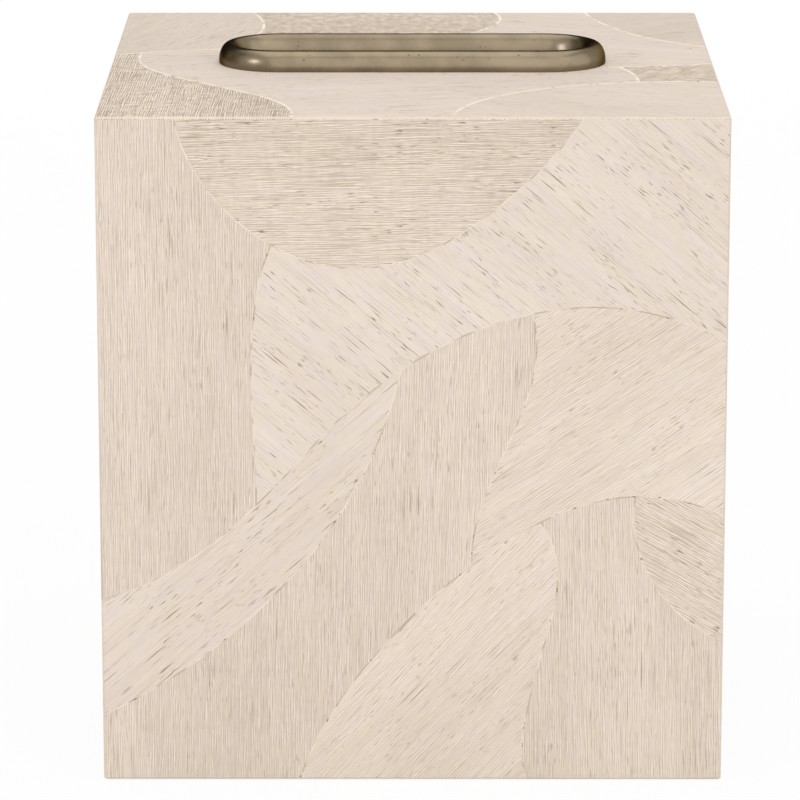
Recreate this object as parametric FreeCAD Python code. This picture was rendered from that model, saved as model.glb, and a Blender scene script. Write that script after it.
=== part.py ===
import FreeCAD
import Part
import math
import os

# Tissue box cover: a square box without a bottom, made of five mitred boards. Every
# outer face is skinned with free-form patches of pale wood veneer, a rounded metal rim
# lines the slot in the top, and a felt pad lies under each corner.
# Millimetres. +Z is up, the front faces -Y, and the origin is on the table, under the
# middle of the box.

# Box, measured over the veneer and without the pads
BODY_WIDTH = 139.7
BODY_DEPTH = 139.7
BODY_HEIGHT = 152.4
ARRIS_CHAMFER = 0.4

# Layers of a wall
BOARD_THICKNESS = 9.0
VENEER_THICKNESS = 0.6

# Metal rim: a bead, a little lower than wide, that lies on the top, and a collar that
# drops into the slot
RIM_LENGTH = 90.0
RIM_WIDTH = 28.5
BEAD_WIDTH = 5.0
BEAD_FLATTENING = 0.1
BEAD_SEAT_DEPTH = 0.25
COLLAR_WALL = 1.6
COLLAR_DROP = 7.5
COLLAR_CLEARANCE = 0.2

# Square felt pads, let into a shallow pocket under each corner of the boards
PAD_SIZE = 7.0
PAD_THICKNESS = 1.0
PAD_CLEARANCE = 0.2
POCKET_DEPTH = 0.7

# How far a cutting tool runs past what it cuts, and how far the arcs that make up a
# seam may lie from the smooth curve through its points
CUT_OVERRUN = 3.0
SEAM_TOLERANCE = 0.5

# Seams of each face, in the order in which its sheet of veneer is cut apart. A row holds
# the patch that is cut, the patch that comes away on the left of the seam, and points
# along the seam as shares of the sheet's width and height, seen from outside.
FRONT_SEAM_SHARES = (
    ("lower_left", "upper_right", ((-0.05, 0.27), (0.20, 0.38), (0.44, 0.60), (0.68, 0.71), (1.05, 0.64))),
    ("upper_right", "top", ((0.12, 1.05), (0.20, 0.87), (0.40, 0.78), (0.62, 0.86), (0.80, 1.05))),
    ("upper_right", "upper_left", ((0.14, 0.20), (0.25, 0.46), (0.24, 0.64), (0.34, 0.90))),
    ("lower_left", "lower_middle", ((1.05, 0.38), (0.80, 0.43), (0.58, 0.32), (0.38, 0.12), (0.30, -0.05))),
    ("lower_left", "middle_left", ((-0.05, 0.08), (0.20, 0.22), (0.40, 0.44), (0.50, 0.75))),
    ("lower_left", "middle_right", ((0.64, 0.80), (0.68, 0.58), (0.61, 0.42), (0.66, 0.20))),
    ("lower_middle", "lower_right", ((0.64, 0.46), (0.73, 0.28), (0.68, 0.10), (0.71, -0.05))),
    ("lower_right", "right_edge", ((0.88, 0.50), (0.86, 0.38), (0.92, 0.27), (1.05, 0.20))),
)
TOP_SEAM_SHARES = (
    ("front", "back", ((-0.05, 0.52), (0.15, 0.62), (0.40, 0.59), (0.60, 0.50), (0.82, 0.45), (1.05, 0.51))),
    ("back", "back_right", ((0.62, 1.05), (0.64, 0.86), (0.57, 0.70), (0.60, 0.50), (0.66, 0.35))),
    ("back", "back_left", ((0.02, 0.44), (0.20, 0.66), (0.24, 0.84), (0.20, 1.05))),
    ("front", "front_right", ((1.05, 0.30), (0.84, 0.30), (0.66, 0.20), (0.56, -0.05))),
    ("front", "front_left", ((0.30, -0.05), (0.28, 0.14), (0.14, 0.32), (0.06, 0.64))),
    ("front", "right_end", ((0.78, 0.54), (0.87, 0.38), (0.84, 0.20))),
    ("back_right", "back_corner", ((0.80, 1.05), (0.84, 0.86), (0.92, 0.72), (1.05, 0.62))),
)
LEFT_SEAM_SHARES = (
    ("lower_middle", "upper_back", ((-0.05, 0.70), (0.28, 0.57), (0.66, 0.38), (1.05, 0.45))),
    ("upper_back", "upper_front", ((0.46, 1.05), (0.50, 0.76), (0.64, 0.30))),
    ("lower_middle", "lower_back", ((0.36, -0.05), (0.26, 0.24), (0.14, 0.75))),
    ("lower_middle", "lower_front", ((1.05, 0.21), (0.78, 0.21), (0.56, -0.05))),
)
RIGHT_SEAM_SHARES = (
    ("lower_middle", "upper_front", ((-0.05, 0.57), (0.32, 0.64), (0.70, 0.43), (1.05, 0.40))),
    ("upper_front", "upper_back", ((0.48, 1.05), (0.53, 0.78), (0.70, 0.30))),
    ("lower_middle", "lower_front", ((0.24, -0.05), (0.30, 0.24), (0.26, 0.75))),
    ("lower_middle", "lower_back", ((1.05, 0.15), (0.80, 0.21), (0.54, -0.05))),
)
BACK_SEAM_SHARES = (
    ("lower_middle", "upper_left", ((-0.05, 0.40), (0.28, 0.46), (0.70, 0.67), (1.05, 0.62))),
    ("upper_left", "upper_right", ((0.64, 1.05), (0.57, 0.82), (0.56, 0.45))),
    ("lower_middle", "lower_right", ((1.05, 0.31), (0.72, 0.32), (0.46, -0.05))),
    ("lower_middle", "lower_left", ((0.27, -0.05), (0.20, 0.20), (0.22, 0.60))),
)

# Levels and half sizes that several pieces share
body_bottom = PAD_THICKNESS - POCKET_DEPTH
body_top = body_bottom + BODY_HEIGHT
half_width = BODY_WIDTH / 2
half_depth = BODY_DEPTH / 2
board_top = body_top - VENEER_THICKNESS
board_half_width = half_width - VENEER_THICKNESS
board_half_depth = half_depth - VENEER_THICKNESS
wall_height = board_top - body_bottom
slot_run = RIM_LENGTH - RIM_WIDTH
throat_radius = RIM_WIDTH / 2 - BEAD_WIDTH
collar_radius = throat_radius + COLLAR_WALL
slot_radius = collar_radius + COLLAR_CLEARANCE
pad_reach_x = board_half_width - BOARD_THICKNESS / 2
pad_reach_y = board_half_depth - BOARD_THICKNESS / 2
pad_centres = {
    "front_left": (-pad_reach_x, -pad_reach_y),
    "front_right": (pad_reach_x, -pad_reach_y),
    "back_left": (-pad_reach_x, pad_reach_y),
    "back_right": (pad_reach_x, pad_reach_y),
}

ORIGIN = FreeCAD.Vector(0, 0, 0)
RIGHTWARD = FreeCAD.Vector(1, 0, 0)
LEFTWARD = FreeCAD.Vector(-1, 0, 0)
BACKWARD = FreeCAD.Vector(0, 1, 0)
FORWARD = FreeCAD.Vector(0, -1, 0)
UPWARD = FreeCAD.Vector(0, 0, 1)


def stand_on_face(shape, corner, across, up):
    """Turn a shape drawn flat, outer face up, onto the face with that lower left corner."""
    placed = shape.copy()
    turn = FreeCAD.Rotation(across, up, across.cross(up), "ZXY")
    placed.Placement = FreeCAD.Placement(corner, turn) * shape.Placement
    return placed


def mitred_board(width, height, bottom_mitre):
    """Board drawn flat with its outer face at zero, mitred on three edges or on all four."""
    inner_width_end = width - BOARD_THICKNESS
    inner_height_end = height - BOARD_THICKNESS
    board = Part.makeWedge(0, 0, 0, bottom_mitre, BOARD_THICKNESS,
                           width, BOARD_THICKNESS, height, inner_height_end, inner_width_end)
    board.rotate(ORIGIN, RIGHTWARD, -90)
    return board


def slot_prism(radius, bottom, top):
    """Upright prism with the slot's outline: straight sides and round ends."""
    end = slot_run / 2
    front_left = FreeCAD.Vector(-end, -radius, bottom)
    front_right = FreeCAD.Vector(end, -radius, bottom)
    back_right = FreeCAD.Vector(end, radius, bottom)
    back_left = FreeCAD.Vector(-end, radius, bottom)
    outline = Part.Wire([
        Part.LineSegment(front_left, front_right).toShape(),
        Part.Arc(front_right, FreeCAD.Vector(end + radius, 0, bottom), back_right).toShape(),
        Part.LineSegment(back_right, back_left).toShape(),
        Part.Arc(back_left, FreeCAD.Vector(-end - radius, 0, bottom), front_left).toShape(),
    ])
    return Part.Face(outline).extrude(UPWARD * (top - bottom))


def pad_block(centre, size):
    """Square block on the table under one corner, as thick as a pad."""
    x, y = centre
    return Part.makeBox(size, size, PAD_THICKNESS, FreeCAD.Vector(x - size / 2, y - size / 2, 0))


def make_boards():
    """Five boards, mitred to each other: four walls with pockets for the pads, and a slotted top."""
    wall = mitred_board(2 * board_half_width, wall_height, 0)
    side_wall = mitred_board(2 * board_half_depth, wall_height, 0)
    lid = mitred_board(2 * board_half_width, 2 * board_half_depth, BOARD_THICKNESS)
    left = -board_half_width
    right = board_half_width
    front = -board_half_depth
    back = board_half_depth
    boards = {
        "front_board": stand_on_face(wall, FreeCAD.Vector(left, front, body_bottom), RIGHTWARD, UPWARD),
        "back_board": stand_on_face(wall, FreeCAD.Vector(right, back, body_bottom), LEFTWARD, UPWARD),
        "left_board": stand_on_face(side_wall, FreeCAD.Vector(left, back, body_bottom), FORWARD, UPWARD),
        "right_board": stand_on_face(side_wall, FreeCAD.Vector(right, front, body_bottom), BACKWARD, UPWARD),
        "top_board": stand_on_face(lid, FreeCAD.Vector(left, front, board_top), RIGHTWARD, BACKWARD),
    }
    slot = slot_prism(slot_radius, board_top - BOARD_THICKNESS - CUT_OVERRUN, board_top + CUT_OVERRUN)
    boards["top_board"] = boards["top_board"].cut(slot)
    pockets = [pad_block(centre, PAD_SIZE + 2 * PAD_CLEARANCE) for centre in pad_centres.values()]
    for name in ("front_board", "back_board", "left_board", "right_board"):
        boards[name] = boards[name].cut(pockets)
    return boards


def run_to_circle(point, direction, centre, radius):
    """Where a straight line from a point inside a circle leaves it."""
    offset = point - centre
    along = offset.dot(direction)
    distance = math.sqrt(along ** 2 - offset.dot(offset) + radius ** 2) - along
    return point + direction * distance


def left_of_seam(points, centre, reach):
    """Block of everything on the left of a smooth seam, out to a circle that clears the sheet.

    The seam is a chain of arcs that run smoothly into each other.
    """
    curve = Part.BSplineCurve()
    curve.interpolate(points)
    start_direction = curve.tangent(curve.FirstParameter)[0]
    end_direction = curve.tangent(curve.LastParameter)[0]
    start = run_to_circle(points[0], start_direction * -1, centre, reach)
    end = run_to_circle(points[-1], end_direction, centre, reach)
    end_angle = math.atan2(end.y - centre.y, end.x - centre.x)
    turn = (math.atan2(start.y - centre.y, start.x - centre.x) - end_angle) % math.tau
    middle_angle = end_angle + turn / 2
    middle = centre + FreeCAD.Vector(math.cos(middle_angle), math.sin(middle_angle), 0) * reach
    seam = [arc.toShape() for arc in curve.toBiArcs(SEAM_TOLERANCE)]
    outline = Part.Wire([
        Part.LineSegment(start, points[0]).toShape(),
        *seam,
        Part.LineSegment(points[-1], end).toShape(),
        Part.Arc(end, middle, start).toShape(),
    ])
    block = Part.Face(outline).extrude(UPWARD * (VENEER_THICKNESS + 2 * CUT_OVERRUN))
    block.translate(UPWARD * (-VENEER_THICKNESS - CUT_OVERRUN))
    return block


def cut_patches(width, height, seam_shares):
    """Patches of one sheet, drawn flat with the outer face at zero, by name."""
    sheet = Part.makeBox(width, height, VENEER_THICKNESS, FreeCAD.Vector(0, 0, -VENEER_THICKNESS))
    centre = FreeCAD.Vector(width / 2, height / 2, 0)
    patches = {seam_shares[0][0]: sheet}
    for cut_name, new_name, point_shares in seam_shares:
        points = [FreeCAD.Vector(u_share * width, v_share * height, 0) for u_share, v_share in point_shares]
        block = left_of_seam(points, centre, width + height)
        patches[new_name] = patches[cut_name].common(block)
        patches[cut_name] = patches[cut_name].cut(block)
    return patches


def make_veneers():
    """Patches of all five faces, eased along the box's outer edges and open over the slot."""
    corner = FreeCAD.Vector(-half_width, -half_depth, body_bottom)
    box = Part.makeBox(BODY_WIDTH, BODY_DEPTH, BODY_HEIGHT, corner)
    eased_box = box.makeChamfer(ARRIS_CHAMFER, box.Edges)
    slot = slot_prism(slot_radius, board_top - CUT_OVERRUN, body_top + CUT_OVERRUN)
    side_width = 2 * board_half_depth
    faces = (
        ("front", BODY_WIDTH, wall_height, FRONT_SEAM_SHARES,
         FreeCAD.Vector(-half_width, -half_depth, body_bottom), RIGHTWARD, UPWARD),
        ("back", BODY_WIDTH, wall_height, BACK_SEAM_SHARES,
         FreeCAD.Vector(half_width, half_depth, body_bottom), LEFTWARD, UPWARD),
        ("left", side_width, wall_height, LEFT_SEAM_SHARES,
         FreeCAD.Vector(-half_width, board_half_depth, body_bottom), FORWARD, UPWARD),
        ("right", side_width, wall_height, RIGHT_SEAM_SHARES,
         FreeCAD.Vector(half_width, -board_half_depth, body_bottom), BACKWARD, UPWARD),
        ("top", BODY_WIDTH, BODY_DEPTH, TOP_SEAM_SHARES,
         FreeCAD.Vector(-half_width, -half_depth, body_top), RIGHTWARD, BACKWARD),
    )
    veneers = {}
    for face, width, height, seam_shares, corner, across, up in faces:
        for patch_name, patch in cut_patches(width, height, seam_shares).items():
            placed = stand_on_face(patch, corner, across, up).common(eased_box)
            veneers[face + "_veneer_" + patch_name] = placed.cut(slot)
    return veneers


def rim_section(along):
    """Section of the rim's front run: bead, flat seat on the top veneer, and collar below it."""
    bead_half_width = BEAD_WIDTH / 2
    bead_half_height = bead_half_width - BEAD_FLATTENING / 2
    bead_reach = throat_radius + bead_half_width
    bead_level = body_top + bead_half_height - BEAD_SEAT_DEPTH
    seat_sine = 1 - BEAD_SEAT_DEPTH / bead_half_height
    seat_reach = bead_reach + bead_half_width * math.sqrt(1 - seat_sine ** 2)

    def point(reach, level):
        return FreeCAD.Vector(along, -reach, level)

    seat_edge = point(seat_reach, body_top)
    throat = point(throat_radius, bead_level)
    bead_outside = point(bead_reach + bead_half_width, bead_level)
    bead_crest = point(bead_reach, bead_level + bead_half_height)
    oval = Part.Ellipse(bead_outside, bead_crest, point(bead_reach, bead_level))
    collar_bottom = body_top - COLLAR_DROP
    collar = Part.makePolygon([
        throat,
        point(throat_radius, collar_bottom),
        point(collar_radius, collar_bottom),
        point(collar_radius, body_top),
        seat_edge,
    ])
    bead = Part.Arc(oval, oval.parameter(seat_edge), oval.parameter(throat)).toShape()
    return Part.Face(Part.Wire([bead] + collar.Edges))


def make_rim():
    """Rim of the slot: each half is a straight run and a round end."""
    run = rim_section(-slot_run / 2).extrude(RIGHTWARD * slot_run)
    end = rim_section(slot_run / 2).revolve(RIGHTWARD * (slot_run / 2), UPWARD, 180)
    half = run.fuse(end)
    other_half = half.copy()
    other_half.rotate(ORIGIN, UPWARD, 180)
    return half.fuse(other_half).removeSplitter()


pieces = {}
pieces.update(make_boards())
pieces.update(make_veneers())
pieces["slot_rim"] = make_rim()
for corner, centre in pad_centres.items():
    pieces["felt_pad_" + corner] = pad_block(centre, PAD_SIZE)

os.makedirs("parts", exist_ok=True)
for name, piece in pieces.items():
    piece.exportStep("parts/" + name + ".step")
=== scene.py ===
import bpy
import math
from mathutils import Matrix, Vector


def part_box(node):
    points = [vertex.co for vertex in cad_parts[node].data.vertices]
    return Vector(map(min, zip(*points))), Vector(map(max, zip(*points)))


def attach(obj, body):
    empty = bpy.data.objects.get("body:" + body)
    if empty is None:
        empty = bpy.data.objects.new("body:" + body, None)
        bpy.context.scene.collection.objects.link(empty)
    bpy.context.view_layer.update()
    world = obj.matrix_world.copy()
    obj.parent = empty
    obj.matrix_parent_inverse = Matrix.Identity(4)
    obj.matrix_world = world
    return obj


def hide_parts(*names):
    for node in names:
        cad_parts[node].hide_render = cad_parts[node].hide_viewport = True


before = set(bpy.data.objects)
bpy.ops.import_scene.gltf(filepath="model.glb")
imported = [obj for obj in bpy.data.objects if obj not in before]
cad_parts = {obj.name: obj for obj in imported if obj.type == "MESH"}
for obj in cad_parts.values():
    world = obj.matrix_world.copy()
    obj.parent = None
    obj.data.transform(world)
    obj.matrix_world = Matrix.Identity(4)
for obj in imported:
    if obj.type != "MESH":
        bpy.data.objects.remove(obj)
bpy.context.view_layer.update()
bpy.context.scene.view_settings.view_transform = "Standard"


# Boards: five panels of medium fibreboard, glued together along their mitres. The veneer
# hides their outer faces, and the bare board shows inside and along the open bottom.

def tint(red, green, blue):
    """Colour of a shader socket from the 0 to 255 values of a swatch."""
    def linear(value):
        share = value / 255
        return share / 12.92 if share <= 0.04045 else ((share + 0.055) / 1.055) ** 2.4
    return (linear(red), linear(green), linear(blue), 1)


def fill_sockets(tree, node, sockets):
    """Give each socket of a node its value, or a link from another node's output."""
    for name, value in sockets.items():
        if isinstance(value, bpy.types.NodeSocket):
            tree.links.new(value, node.inputs[name])
        else:
            node.inputs[name].default_value = value


def put_node(tree, kind, sockets=None, **settings):
    """New node with its settings made and its sockets filled."""
    node = tree.nodes.new(kind)
    for name, value in settings.items():
        setattr(node, name, value)
    fill_sockets(tree, node, sockets or {})
    return node


def calculate(tree, operation, *values):
    """Output of a Math node."""
    return put_node(tree, "ShaderNodeMath", dict(enumerate(values)), operation=operation).outputs[0]


def ease(tree, value, low, high):
    """Smooth mask that is 0 below one value and 1 above the other."""
    sockets = {"Value": value, "From Min": low, "From Max": high}
    return put_node(tree, "ShaderNodeMapRange", sockets, interpolation_type="SMOOTHSTEP").outputs["Result"]


def blend(tree, factor, first, second):
    """Colour between two colours."""
    return put_node(tree, "ShaderNodeMix", {0: factor, 6: first, 7: second}, data_type="RGBA").outputs[2]


def noise(tree, place, scale, detail, roughness=0.5):
    """Noise with about that many specks in one unit of the coordinates."""
    sockets = {"Vector": place, "Scale": scale, "Detail": detail, "Roughness": roughness}
    return put_node(tree, "ShaderNodeTexNoise", sockets).outputs["Fac"]


def relief(tree, height, strength, distance):
    """Normal of a surface whose relief is up to that distance in metres."""
    sockets = {"Height": height, "Strength": strength, "Distance": distance}
    return put_node(tree, "ShaderNodeBump", sockets).outputs["Normal"]


def new_material(name):
    """Plain material, with its node tree and its shader."""
    material = bpy.data.materials.new(name)
    material.use_nodes = True
    return material, material.node_tree, material.node_tree.nodes["Principled BSDF"]


def object_place(tree):
    """Object coordinates of the piece, in metres."""
    return tree.nodes.new("ShaderNodeTexCoord").outputs["Object"]


fibreboard, tree, shader = new_material("fibreboard")
place = object_place(tree)
fibres = noise(tree, place, 900, 4, 0.7)
flecks = noise(tree, place, 260, 2)
board_colour = blend(tree, ease(tree, fibres, 0.3, 0.7), tint(168, 136, 100), tint(203, 174, 138))
board_colour = blend(tree, ease(tree, flecks, 0.62, 0.74), board_colour, tint(140, 108, 76))
fill_sockets(tree, shader, {
    "Base Color": board_colour,
    "Roughness": ease(tree, fibres, -0.9, 1.1),
    "Normal": relief(tree, fibres, 0.4, 0.0001),
})
for name in ("front_board", "back_board", "left_board", "right_board", "top_board"):
    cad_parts[name].material_slots[0].material = fibreboard


# Veneer leaves: thin sheets of bleached wood, cut to curved seams, laid edge to edge on the
# boards and sanded flush. The seams are filled, with cream on the top and patchily on the
# sides, and the leaves are eased along the edges of the box.

def stretched_noise(tree, along, across, length, width, layer, detail):
    """Noise with specks of that length along the grain and that width across it."""
    spot = put_node(tree, "ShaderNodeCombineXYZ", {
        "X": calculate(tree, "DIVIDE", along, length),
        "Y": calculate(tree, "DIVIDE", across, width),
        "Z": layer,
    })
    return noise(tree, spot.outputs["Vector"], 1, detail)


def make_figure_group():
    """Wood figure: lines that wander a little, bands, cross ripple, streaks, cracks and clusters of pores."""
    tree = bpy.data.node_groups.new("veneer_figure", "ShaderNodeTree")
    tree.interface.new_socket("Grain", in_out="INPUT", socket_type="NodeSocketVector")
    for name in ("Dark line", "Pale line", "Blush line", "Pore"):
        tree.interface.new_socket(name, in_out="INPUT", socket_type="NodeSocketColor")
    for name in ("Line strength", "Comb strength", "Band strength", "Ripple strength", "Streak strength",
                 "Crack amount", "Pore amount", "Pore length"):
        tree.interface.new_socket(name, in_out="INPUT", socket_type="NodeSocketFloat")
    tree.interface.new_socket("Color", in_out="OUTPUT", socket_type="NodeSocketColor")
    tree.interface.new_socket("Roughness", in_out="OUTPUT", socket_type="NodeSocketFloat")
    tree.interface.new_socket("Height", in_out="OUTPUT", socket_type="NodeSocketFloat")
    given = tree.nodes.new("NodeGroupInput").outputs
    grain = put_node(tree, "ShaderNodeSeparateXYZ", {"Vector": given["Grain"]}).outputs
    along = grain["X"]
    across = grain["Y"]

    # The grain bends slowly, and wobbles finely.
    for length, width, layer, sideways in ((0.045, 0.012, 1, 0.0008), (0.0018, 0.0008, 2, 0.00022)):
        bend = stretched_noise(tree, along, grain["Y"], length, width, layer, 1)
        across = calculate(tree, "MULTIPLY_ADD", bend, sideways, across)

    # Length along the grain and width across it in metres, then the layer of the noise and its detail.
    mark_sizes = {
        "long fibres": (0.016, 0.00022, 3, 1),
        "short fibres": (0.0028, 0.00017, 15, 2),
        "comb drift": (0.010, 0.0013, 11, 1),
        "comb patches": (0.0055, 0.0009, 12, 1),
        "bands": (0.035, 0.0030, 4, 1),
        "ripple": (0.0016, 0.0040, 5, 1),
        "streaks": (0.016, 0.00034, 6, 0),
        "tone": (0.10, 0.025, 7, 0),
        "blush": (0.011, 0.0035, 8, 1),
        "pores": (given["Pore length"], 0.00028, 9, 0),
        "pore clusters": (0.022, 0.007, 10, 1),
        "cracks": (0.010, 0.00034, 13, 0),
        "crack clusters": (0.030, 0.010, 14, 1),
    }
    marks = {name: stretched_noise(tree, along, across, *size) for name, size in mark_sizes.items()}

    comb_spacing = 0.00052
    phase = calculate(tree, "DIVIDE", across, comb_spacing)
    phase = calculate(tree, "MULTIPLY_ADD", marks["comb drift"], 1.3, phase)
    combed = calculate(tree, "SINE", calculate(tree, "MULTIPLY", phase, math.tau))
    combed = calculate(tree, "MULTIPLY", combed, ease(tree, marks["comb patches"], 0.38, 0.62))
    combed = calculate(tree, "MULTIPLY", combed, given["Comb strength"])
    fibres = calculate(tree, "MULTIPLY", marks["short fibres"], 0.5)
    fibres = calculate(tree, "MULTIPLY_ADD", marks["long fibres"], 0.5, fibres)
    lines = calculate(tree, "MULTIPLY_ADD", fibres, 0.6, calculate(tree, "ADD", combed, 0.2))

    tone_strength = 0.4
    shade = 0.5
    for mark, strength in (
        (lines, given["Line strength"]),
        (marks["bands"], given["Band strength"]),
        (marks["ripple"], given["Ripple strength"]),
        (marks["tone"], tone_strength),
    ):
        shade = calculate(tree, "MULTIPLY_ADD", calculate(tree, "SUBTRACT", mark, 0.5), strength, shade)
    streak_mask = ease(tree, marks["streaks"], 0.60, 0.76)
    streak_mask = calculate(tree, "MULTIPLY", streak_mask, given["Streak strength"])
    shade = calculate(tree, "SUBTRACT", shade, streak_mask)
    pale_colour = blend(tree, ease(tree, marks["blush"], 0.35, 0.65), given["Pale line"], given["Blush line"])
    colour = blend(tree, shade, given["Dark line"], pale_colour)

    pore_mask = ease(tree, marks["pores"], 0.69, 0.78)
    pore_mask = calculate(tree, "MULTIPLY", pore_mask, ease(tree, marks["pore clusters"], 0.38, 0.62))
    pore_mask = calculate(tree, "MULTIPLY", pore_mask, given["Pore amount"])
    crack_mask = ease(tree, marks["cracks"], 0.70, 0.80)
    crack_mask = calculate(tree, "MULTIPLY", crack_mask, ease(tree, marks["crack clusters"], 0.42, 0.60))
    crack_mask = calculate(tree, "MULTIPLY", crack_mask, given["Crack amount"])
    open_mask = calculate(tree, "MAXIMUM", pore_mask, crack_mask)
    fill_sockets(tree, tree.nodes.new("NodeGroupOutput"), {
        "Color": blend(tree, open_mask, colour, given["Pore"]),
        "Roughness": calculate(tree, "MULTIPLY_ADD", lines, 0.25, 0.48),
        "Height": calculate(tree, "SUBTRACT", lines, open_mask),
    })
    return tree


veneer_figure = make_figure_group()


def make_veneer(name, figure_values):
    """Bleached veneer with colours and a mix of grain, streaks, cracks and pores of its own."""
    material, tree, shader = new_material(name)
    grain = put_node(tree, "ShaderNodeUVMap", uv_map="grain").outputs["UV"]
    figure = put_node(tree, "ShaderNodeGroup", node_tree=veneer_figure)
    fill_sockets(tree, figure, {"Grain": grain, **figure_values})
    fill_sockets(tree, shader, {
        "Base Color": figure.outputs["Color"],
        "Roughness": figure.outputs["Roughness"],
        "Specular IOR Level": 0.25,
        "Normal": relief(tree, figure.outputs["Height"], 0.25, 0.00005),
    })
    return material


veneers = {
    "lined": make_veneer("veneer_lined", {
        "Dark line": tint(202, 186, 170), "Pale line": tint(237, 223, 211),
        "Blush line": tint(236, 222, 206), "Pore": tint(152, 130, 104),
        "Line strength": 2.7, "Comb strength": 0.20, "Band strength": 0.3, "Ripple strength": 0.2,
        "Streak strength": 0.3, "Crack amount": 0.7, "Pore amount": 0.55, "Pore length": 0.0034,
    }),
    "flecked": make_veneer("veneer_flecked", {
        "Dark line": tint(209, 193, 177), "Pale line": tint(241, 228, 216),
        "Blush line": tint(241, 227, 211), "Pore": tint(148, 125, 97),
        "Line strength": 2.3, "Comb strength": 0.20, "Band strength": 0.4, "Ripple strength": 0.15,
        "Streak strength": 0.3, "Crack amount": 0.6, "Pore amount": 0.6, "Pore length": 0.0026,
    }),
    "pale": make_veneer("veneer_pale", {
        "Dark line": tint(215, 200, 185), "Pale line": tint(237, 223, 217),
        "Blush line": tint(238, 225, 208), "Pore": tint(142, 117, 90),
        "Line strength": 2.4, "Comb strength": 0.08, "Band strength": 0.5, "Ripple strength": 0.15,
        "Streak strength": 0.5, "Crack amount": 0.9, "Pore amount": 0.9, "Pore length": 0.0030,
    }),
    "dense": make_veneer("veneer_dense", {
        "Dark line": tint(198, 181, 163), "Pale line": tint(239, 225, 212),
        "Blush line": tint(238, 224, 207), "Pore": tint(132, 110, 84),
        "Line strength": 3.3, "Comb strength": 0.19, "Band strength": 0.2, "Ripple strength": 0.4,
        "Streak strength": 0.6, "Crack amount": 0.6, "Pore amount": 0.9, "Pore length": 0.0028,
    }),
    "coarse": make_veneer("veneer_coarse", {
        "Dark line": tint(176, 157, 138), "Pale line": tint(242, 228, 213),
        "Blush line": tint(241, 227, 208), "Pore": tint(150, 129, 105),
        "Line strength": 3.0, "Comb strength": 0.24, "Band strength": 0.3, "Ripple strength": 1.1,
        "Streak strength": 0.5, "Crack amount": 0.3, "Pore amount": 0.5, "Pore length": 0.0024,
    }),
}
sanded_edge = make_veneer("veneer_sanded_edge", {
    "Dark line": tint(212, 196, 179), "Pale line": tint(238, 224, 209),
    "Blush line": tint(237, 223, 205), "Pore": tint(190, 170, 146),
    "Line strength": 0.3, "Comb strength": 0.0, "Band strength": 0.6, "Ripple strength": 0.3,
    "Streak strength": 0.2, "Crack amount": 0.0, "Pore amount": 0.1, "Pore length": 0.0024,
})

box_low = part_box("front_veneer_lower_left")[0]
box_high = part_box("top_veneer_back_corner")[1]
seam_filler, tree, shader = new_material("seam_filler")
place = object_place(tree)
level = put_node(tree, "ShaderNodeSeparateXYZ", {"Vector": place}).outputs["Z"]
on_top = ease(tree, level, box_high.z - 0.0012, box_high.z - 0.0002)
patches = calculate(tree, "MULTIPLY_ADD", on_top, 0.14, noise(tree, place, 170, 2))
dark_specks = noise(tree, place, 700, 0)
cream = blend(tree, on_top, tint(236, 222, 204), tint(246, 236, 219))
filler_colour = blend(tree, ease(tree, patches, 0.38, 0.51), tint(192, 173, 149), tint(227, 212, 195))
filler_colour = blend(tree, ease(tree, patches, 0.53, 0.64), filler_colour, cream)
filler_colour = blend(tree, ease(tree, dark_specks, 0.72, 0.77), filler_colour, tint(150, 126, 98))
fill_sockets(tree, shader, {"Base Color": filler_colour, "Roughness": ease(tree, patches, -0.8, 1.2)})

# Each leaf is cut from a place of its own on the sheet of veneer.
grain_shift = (0.61, 0.37)
# Cosine to the outward direction: above the first on a leaf's sheet, and above the second on its chamfers.
sheet_facing = 0.999
chamfer_facing = 0.2
edge_strip = 0.0008
side_filler = 0.00030
top_filler = 0.0007
rightward = Vector((1, 0, 0))
backward = Vector((0, 1, 0))
upward = Vector((0, 0, 1))


def edit_only(piece):
    """Select one piece alone, ready for the mesh operators."""
    bpy.ops.object.select_all(action="DESELECT")
    piece.select_set(True)
    bpy.context.view_layer.objects.active = piece


def lies_on_edge(place):
    """Whether a point of the skin is in the narrow strip along an edge of the box."""
    near = [place[axis] < box_low[axis] + edge_strip or place[axis] > box_high[axis] - edge_strip
            for axis in range(3)]
    return sum(near) > 1


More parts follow.
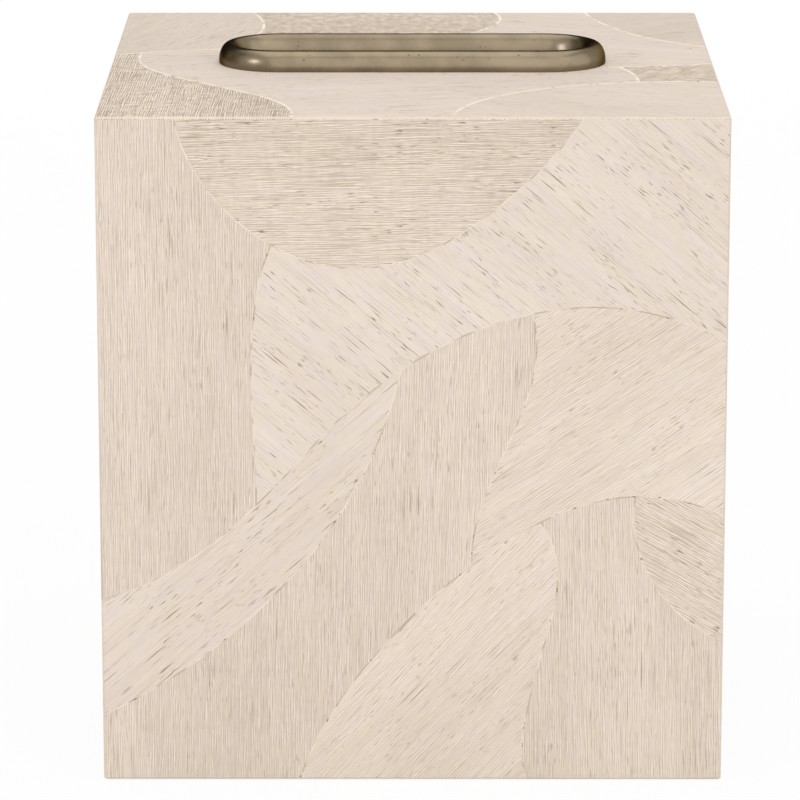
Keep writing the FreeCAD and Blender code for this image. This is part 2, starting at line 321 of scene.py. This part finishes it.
def lay_leaf(face, patch, kind, grain_angle, across, up, filler_width, order):
    """Leaf on the solid of its patch: one clean face, a line of filler along its seams, and its grain map."""
    outward = across.cross(up)
    solid = face + "_veneer_" + patch
    leaf = bpy.data.objects.new(face + "_leaf_" + patch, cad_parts[solid].data.copy())
    bpy.context.collection.objects.link(leaf)
    edit_only(leaf)
    bpy.ops.mesh.customdata_custom_splitnormals_clear()
    bpy.ops.object.mode_set(mode="EDIT")
    bpy.ops.mesh.select_mode(type="FACE")
    bpy.ops.mesh.select_all(action="SELECT")
    bpy.ops.mesh.remove_doubles(threshold=0.000001)
    bpy.ops.mesh.dissolve_limited(angle_limit=math.radians(0.2))
    bpy.ops.mesh.select_all(action="DESELECT")
    bpy.ops.object.mode_set(mode="OBJECT")
    for polygon in leaf.data.polygons:
        polygon.select = polygon.normal.dot(outward) > sheet_facing
    bpy.ops.object.mode_set(mode="EDIT")
    bpy.ops.mesh.inset(thickness=filler_width / 2)
    bpy.ops.object.mode_set(mode="OBJECT")
    leaf.data.materials.clear()
    for material in (veneers[kind], seam_filler, sanded_edge):
        leaf.data.materials.append(material)
    for polygon in leaf.data.polygons:
        facing = polygon.normal.dot(outward)
        if chamfer_facing < facing < sheet_facing:
            polygon.material_index = 2
        elif facing > sheet_facing and not polygon.select and not lies_on_edge(polygon.center):
            polygon.material_index = 1
    grain = leaf.data.uv_layers.new(name="grain")
    turn = math.radians(grain_angle)
    for loop in leaf.data.loops:
        place = leaf.data.vertices[loop.vertex_index].co
        right = place.dot(across)
        rise = place.dot(up)
        grain.data[loop.index].uv = (
            right * math.cos(turn) + rise * math.sin(turn) + grain_shift[0] * order,
            rise * math.cos(turn) - right * math.sin(turn) + grain_shift[1] * order,
        )
    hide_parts(solid)
    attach(leaf, "root")


leaves = (
    ("front", rightward, upward, side_filler, (
        ("upper_left", "lined", 90), ("upper_right", "pale", -40), ("top", "dense", 1),
        ("middle_left", "pale", 41), ("lower_left", "lined", 89), ("middle_right", "flecked", 34),
        ("lower_middle", "flecked", 47), ("lower_right", "lined", 91), ("right_edge", "dense", -30),
    )),
    ("top", rightward, backward, top_filler, (
        ("front", "pale", 14), ("back", "coarse", 3), ("back_right", "pale", -20), ("back_left", "lined", 70),
        ("front_left", "coarse", 89), ("front_right", "flecked", -24), ("right_end", "coarse", 60),
        ("back_corner", "lined", 30),
    )),
    ("left", -backward, upward, side_filler, (
        ("lower_middle", "flecked", 48), ("upper_back", "pale", -40), ("upper_front", "lined", 90),
        ("lower_back", "dense", 5), ("lower_front", "pale", 30),
    )),
    ("right", backward, upward, side_filler, (
        ("lower_middle", "flecked", -45), ("upper_front", "lined", 90), ("upper_back", "pale", 38),
        ("lower_front", "pale", -60), ("lower_back", "dense", 2),
    )),
    ("back", -rightward, upward, side_filler, (
        ("lower_middle", "lined", 90), ("upper_left", "pale", 42), ("upper_right", "dense", 2),
        ("lower_right", "flecked", -50), ("lower_left", "pale", -30),
    )),
)
order = 0
for face, across, up, filler_width, face_leaves in leaves:
    for patch, kind, grain_angle in face_leaves:
        order += 1
        lay_leaf(face, patch, kind, grain_angle, across, up, filler_width, order)


# Slot rim: one cast and brushed piece of antique brass. A rounded bead lies on the top
# veneer all round the slot, and a thin collar under it drops into the slot.

rim_low, rim_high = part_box("slot_rim")
top_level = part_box("top_veneer_front")[1].z
rim_end = rim_high.x - rim_high.y
bead_half_width = 0.0025
bead_half_height = 0.00245
bead_reach = rim_high.y - bead_half_width
bead_level = rim_high.z - bead_half_height
bead_points = 64
# The outside of the bead is widest this many points above the veneer.
foot_points = 2
outer_depth = (rim_high.z - top_level) / (1 + math.sin(foot_points * math.tau / bead_points))
roll_depth = 0.0063
collar_wall = 0.0016
turn_steps = 48
slack = 0.000001
seat_slack = 0.0001


def select_vertices(piece, wanted):
    """Select the vertices whose place is wanted, and stay in edit mode."""
    bpy.ops.mesh.select_mode(type="VERT")
    bpy.ops.mesh.select_all(action="DESELECT")
    bpy.ops.object.mode_set(mode="OBJECT")
    for vertex in piece.data.vertices:
        vertex.select = wanted(vertex.co)
    bpy.ops.object.mode_set(mode="EDIT")


def pull_out(x, y, z):
    """Extrude what is selected, and move it."""
    bpy.ops.mesh.extrude_region_move(TRANSFORM_OT_translate={"value": (x, y, z)})


# The section of the rim: an oval with each side drawn down to its own depth, and the collar.
bpy.ops.object.select_all(action="DESELECT")
bpy.ops.mesh.primitive_circle_add(
    vertices=bead_points, radius=bead_half_width, location=(rim_end, -bead_reach, bead_level),
    rotation=(0, math.pi / 2, 0))
rim = bpy.context.active_object
rim.name = "brass_rim"
bpy.ops.object.transform_apply(location=True, rotation=True, scale=True)
bpy.ops.object.mode_set(mode="EDIT")
bpy.ops.mesh.select_all(action="SELECT")
bpy.ops.transform.resize(value=(1, 1, bead_half_height / bead_half_width),
                         center_override=(rim_end, -bead_reach, bead_level))
select_vertices(rim, lambda place: place.z < bead_level - slack and place.y > -bead_reach - slack)
bpy.ops.mesh.delete(type="VERT")
for depth, wanted in (
    (outer_depth, lambda place: place.y < -bead_reach - slack),
    (roll_depth, lambda place: place.y > -bead_reach + slack),
):
    select_vertices(rim, wanted)
    bpy.ops.transform.resize(value=(1, 1, depth / bead_half_height),
                             center_override=(rim_end, -bead_reach, rim_high.z))
select_vertices(rim, lambda place: place.z < top_level - slack and place.y < -bead_reach)
bpy.ops.mesh.delete(type="VERT")
select_vertices(rim, lambda place: place.y > bead_half_width - bead_reach - slack)
pull_out(0, 0, rim_low.z - (rim_high.z - roll_depth))
pull_out(0, -collar_wall, 0)
pull_out(0, 0, top_level - rim_low.z)
select_vertices(rim, lambda place: abs(place.z - top_level) < seat_slack)
bpy.ops.mesh.edge_face_add()

# The section is carried round the slot, by a half turn at each end and a straight run after it.
bpy.ops.mesh.select_all(action="SELECT")
for end in (rim_end, -rim_end):
    bpy.ops.mesh.spin(steps=turn_steps, angle=-math.pi, center=(end, 0, 0), axis=(0, 0, 1))
    pull_out(-2 * end, 0, 0)
bpy.ops.mesh.select_all(action="SELECT")
bpy.ops.mesh.remove_doubles(threshold=0.000005)
bpy.ops.mesh.normals_make_consistent(inside=False)
bpy.ops.object.mode_set(mode="OBJECT")
bpy.ops.object.shade_smooth_by_angle(angle=math.radians(35))

brass, tree, shader = new_material("antique_brass")
place = object_place(tree)
cloud = noise(tree, place, 120, 4)
satin = noise(tree, place, 2200, 2)
pit_mask = ease(tree, noise(tree, place, 1700, 0), 0.80, 0.84)
brass_colour = blend(tree, ease(tree, cloud, 0.3, 0.7), tint(116, 104, 86), tint(134, 121, 101))
brass_colour = blend(tree, pit_mask, brass_colour, tint(84, 74, 56))
brass_height = calculate(tree, "SUBTRACT", calculate(tree, "MULTIPLY", satin, 0.2), pit_mask)
fill_sockets(tree, shader, {
    "Base Color": brass_colour,
    "Metallic": 1,
    "Specular Tint": tint(146, 138, 124),
    "Roughness": calculate(tree, "MULTIPLY_ADD", cloud, 0.12, 0.22),
    "Normal": relief(tree, brass_height, 0.3, 0.00004),
})
rim.data.materials.append(brass)
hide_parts("slot_rim")
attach(rim, "root")


# Felt pads: squares cut from stiff wool felt, glued into shallow pockets under the four
# corners, so that the cover doesn't scratch what it stands on.

felt, tree, shader = new_material("wool_felt")
place = object_place(tree)
nap = noise(tree, place, 1900, 5, 0.7)
clumps = noise(tree, place, 420, 2)
felt_colour = blend(tree, ease(tree, nap, 0.3, 0.7), tint(118, 106, 92), tint(166, 152, 136))
felt_colour = blend(tree, ease(tree, clumps, 0.55, 0.75), felt_colour, tint(138, 125, 110))
fill_sockets(tree, shader, {
    "Base Color": felt_colour,
    "Roughness": ease(tree, nap, -1.5, 0.8),
    "Sheen Weight": 0.3,
    "Normal": relief(tree, nap, 0.6, 0.0002),
})
nap_texture = bpy.data.textures.new("felt_nap", "CLOUDS")
nap_texture.noise_scale = 0.0006
pad_low, pad_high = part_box("felt_pad_front_left")
bpy.ops.object.select_all(action="DESELECT")
bpy.ops.mesh.primitive_cube_add(size=1, location=(pad_low + pad_high) / 2, scale=pad_high - pad_low)
first_square = bpy.context.active_object
first_square.name = "felt_square_front_left"
bpy.ops.object.transform_apply(location=True, rotation=True, scale=True)
rounding = first_square.modifiers.new("rounding", "BEVEL")
rounding.width = 0.00018
rounding.segments = 2
bpy.ops.object.modifier_apply(modifier="rounding")
bpy.ops.object.mode_set(mode="EDIT")
bpy.ops.mesh.select_all(action="SELECT")
bpy.ops.mesh.subdivide(number_cuts=14)
bpy.ops.object.mode_set(mode="OBJECT")
fuzz = first_square.modifiers.new("fuzz", "DISPLACE")
fuzz.texture = nap_texture
fuzz.strength = 0.00012
fuzz.mid_level = 1
bpy.ops.object.modifier_apply(modifier="fuzz")
bpy.ops.object.shade_smooth()
first_square.data.materials.append(felt)
for corner in ("front_left", "front_right", "back_left", "back_right"):
    square = first_square
    if corner != "front_left":
        edit_only(first_square)
        bpy.ops.object.duplicate(linked=False)
        square = bpy.context.active_object
        square.name = "felt_square_" + corner
        square.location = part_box("felt_pad_" + corner)[0] - pad_low
        bpy.ops.object.transform_apply(location=True, rotation=True, scale=True)
    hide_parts("felt_pad_" + corner)
    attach(square, "root")


# Studio floor and background: white paper. Where it is seen the floor glows almost white and
# keeps a trace of the cover's shadow, and inside the cover's walls it is plain paper.

def seen_rays(tree):
    """Mask of the rays that the camera sends, straight, by a mirror or through glass."""
    rays = tree.nodes.new("ShaderNodeLightPath").outputs
    mirrored = calculate(tree, "MAXIMUM", rays["Is Glossy Ray"], rays["Is Transmission Ray"])
    return calculate(tree, "MAXIMUM", rays["Is Camera Ray"], mirrored)


inside_walls = 0.060
outside_walls = 0.0705
floor_glow = 0.93
bpy.ops.object.select_all(action="DESELECT")
bpy.ops.mesh.primitive_plane_add(size=6)
floor = bpy.context.active_object
floor.name = "studio_floor"
paper, tree, shader = new_material("white_paper")
place = object_place(tree)
paper_colour = blend(tree, noise(tree, place, 60, 3), tint(238, 238, 238), tint(244, 244, 244))
fill_sockets(tree, shader, {"Base Color": paper_colour, "Roughness": 0.9})
spot = put_node(tree, "ShaderNodeSeparateXYZ", {"Vector": place}).outputs
reach_x = calculate(tree, "ABSOLUTE", spot["X"])
reach_y = calculate(tree, "ABSOLUTE", spot["Y"])
reach = calculate(tree, "MAXIMUM", reach_x, reach_y)
open_floor = calculate(tree, "MULTIPLY", ease(tree, reach, inside_walls, outside_walls), floor_glow)
glow = put_node(tree, "ShaderNodeEmission", {"Color": (1, 1, 1, 1), "Strength": 1})
lit = put_node(tree, "ShaderNodeMixShader", {
    0: calculate(tree, "MULTIPLY", seen_rays(tree), open_floor),
    1: shader.outputs["BSDF"],
    2: glow.outputs["Emission"],
})
one_sided = put_node(tree, "ShaderNodeMixShader", {
    0: tree.nodes.new("ShaderNodeNewGeometry").outputs["Backfacing"],
    1: lit.outputs["Shader"],
    2: tree.nodes.new("ShaderNodeBsdfTransparent").outputs["BSDF"],
})
fill_sockets(tree, tree.nodes["Material Output"], {"Surface": one_sided.outputs["Shader"]})
floor.data.materials.append(paper)

world = bpy.data.worlds.new("studio")
bpy.context.scene.world = world
world.use_nodes = True
tree = world.node_tree
fill_sockets(tree, tree.nodes["Background"], {
    "Color": (1, 1, 1, 1),
    "Strength": calculate(tree, "MULTIPLY_ADD", seen_rays(tree), 0.5, 0.5),
})


# Studio cards: a black one behind the cover and a grey one at its left. Only the metal mirrors
# them, and they give the bead the dark line along its crest and its dark left end.

def make_card(name, dark, pale):
    """Matt card, dyed between two shades."""
    material, tree, shader = new_material(name)
    weave = noise(tree, object_place(tree), 80, 3)
    fill_sockets(tree, shader, {"Base Color": blend(tree, weave, dark, pale), "Roughness": 0.9})
    return material


black_card = make_card("black_card", tint(22, 20, 16), tint(34, 30, 25))
grey_card = make_card("grey_card", tint(152, 143, 128), tint(164, 155, 140))
cards = (
    ("black_card", black_card, (-0.43, 0.8, 0.66), 0, 1.36, 1.32),
    ("grey_card", grey_card, (-1.1, 0.34, 0.66), 90, 0.92, 1.32),
)
for name, material, place, turn, width, height in cards:
    bpy.ops.object.select_all(action="DESELECT")
    bpy.ops.mesh.primitive_plane_add(size=1, location=place, rotation=(math.pi / 2, 0, math.radians(turn)))
    card = bpy.context.active_object
    card.name = name
    card.scale = (width, height, 1)
    bpy.ops.object.transform_apply(location=True, rotation=True, scale=True)
    card.visible_camera = False
    card.visible_diffuse = False
    card.visible_transmission = False
    card.visible_shadow = False
    card.data.materials.append(material)


# Studio lamps and camera: broad soft lamps overhead and at the front right, a small one at the
# left, one behind for views from the back, and one at the right that lights only highlights.
# The long lens looks down on the cover a little from the front.

def hang_lamp(name, place, target, width, height, power):
    """Soft lamp, aimed at a point; gives the lamp back."""
    data = bpy.data.lights.new(name, "AREA")
    data.shape = "RECTANGLE"
    data.size = width
    data.size_y = height
    data.energy = power
    lamp = bpy.data.objects.new(name, data)
    lamp.location = place
    lamp.rotation_mode = "QUATERNION"
    lamp.rotation_quaternion = (Vector(target) - lamp.location).to_track_quat("-Z", "Y")
    bpy.context.collection.objects.link(lamp)
    return lamp


hang_lamp("overhead_lamp", (0.1, -0.05, 1.5), (0.1, -0.05, 0.1), 1.6, 1.7, 9.6)
hang_lamp("right_lamp", (0.36, -1.4, 0.66), (0, 0, 0.05), 1.9, 1.7, 9.2)
hang_lamp("left_lamp", (-1.05, -0.85, 0.6), (0, 0, 0.1), 0.32, 0.32, 2.5)
back_lamp = hang_lamp("back_lamp", (-0.1, 1.6, 0.45), (0, 0, 0.08), 0.8, 0.6, 8)
back_lamp.visible_glossy = False
end_lamp = hang_lamp("end_lamp", (1.32, -0.46, 0.62), (0, 0, 0.15), 1.25, 1.4, 4.5)
end_lamp.visible_diffuse = False

look_down = 13.94
look_left = 0.06
camera_data = bpy.data.cameras.new("camera")
camera_data.sensor_width = 36
camera_data.lens = 219.9
camera_data.clip_start = 0.05
camera = bpy.data.objects.new("camera", camera_data)
camera.location = (-0.0017, -1.1236, 0.3504)
camera.rotation_euler = (math.radians(90 - look_down), 0, math.radians(look_left))
bpy.context.collection.objects.link(camera)
bpy.context.scene.camera = camera
